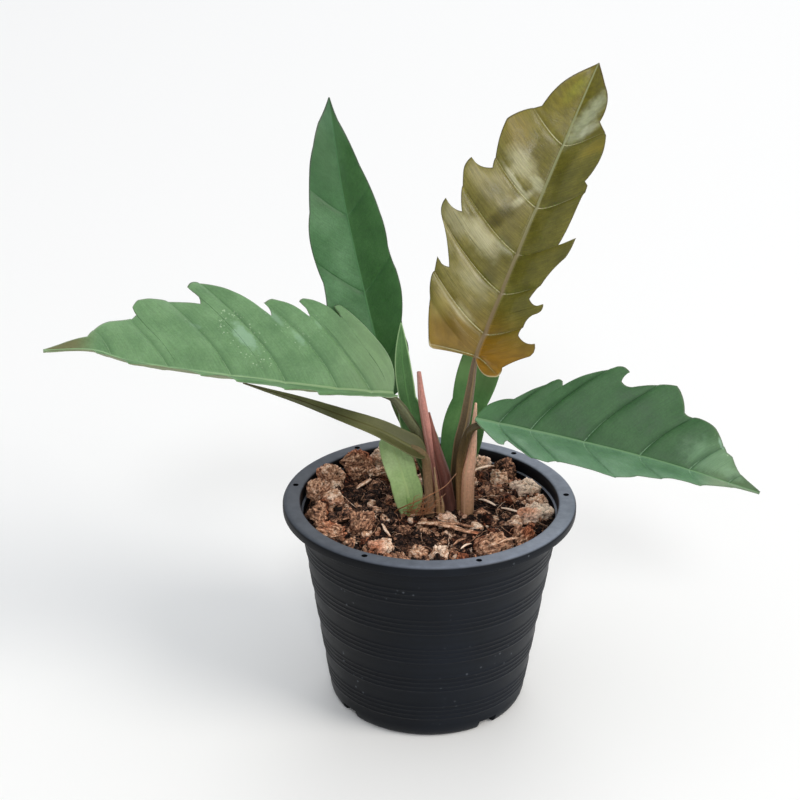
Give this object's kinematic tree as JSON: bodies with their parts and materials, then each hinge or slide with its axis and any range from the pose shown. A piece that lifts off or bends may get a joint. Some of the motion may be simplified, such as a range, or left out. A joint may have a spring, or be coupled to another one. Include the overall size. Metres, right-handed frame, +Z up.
{
  "type": "potted philodendron",
  "caption": "Philodendron with large lobed and waved blades on slender petioles, young leaves and sheaths at its crown, in a tapered ringed nursery pot of husk chips.",
  "frame": {"origin": "centre of the pot's flat underside, on the surface that the pot stands on", "axes": "+Z up through the pot; -Y towards the viewer of the picture; +X to the viewer's right, along the spread of the two side leaves"},
  "size_m": [0.3469, 0.15, 0.3227],
  "materials": {
    "pot": "injection moulded, blue-black, lightly scuffed",
    "growing_mix": "damp peat with husk chips and fibre",
    "sage_leaf": "living leaf, satin, sage green",
    "deep_green_leaf": "living leaf, satin, deep green",
    "caramel_leaf": "living leaf, satin, bronze with orange-brown base",
    "green_leaf": "living leaf, satin, mid green",
    "young_leaf": "living leaf, satin, fresh green",
    "olive_leaf": "living leaf, matt, olive brown",
    "pale_leaf": "living leaf, matt, yellow green",
    "pink_sheath": "living sheath, satin, salmon pink",
    "maroon_sheath": "living sheath, satin, maroon brown",
    "peach_sheath": "living sheath, satin, peach",
    "dry_sheath": "dried sheath, papery",
    "root": "reddish brown root bark"
  },
  "bodies": {
    "root": {"pot": "pot", "growing_mix": "growing_mix", "leaf_left": "sage_leaf", "leaf_back": "deep_green_leaf", "leaf_caramel": "caramel_leaf", "leaf_right": "green_leaf", "young_leaf_back": "young_leaf", "young_leaf_centre": "young_leaf", "strap_leaf": "olive_leaf", "pale_leaf": "pale_leaf", "cataphyll_pink": "pink_sheath", "cataphyll_maroon": "maroon_sheath", "cataphyll_peach": "peach_sheath", "dry_sheath": "dry_sheath", "aerial_root": "root"}
  },
  "joints": []
}
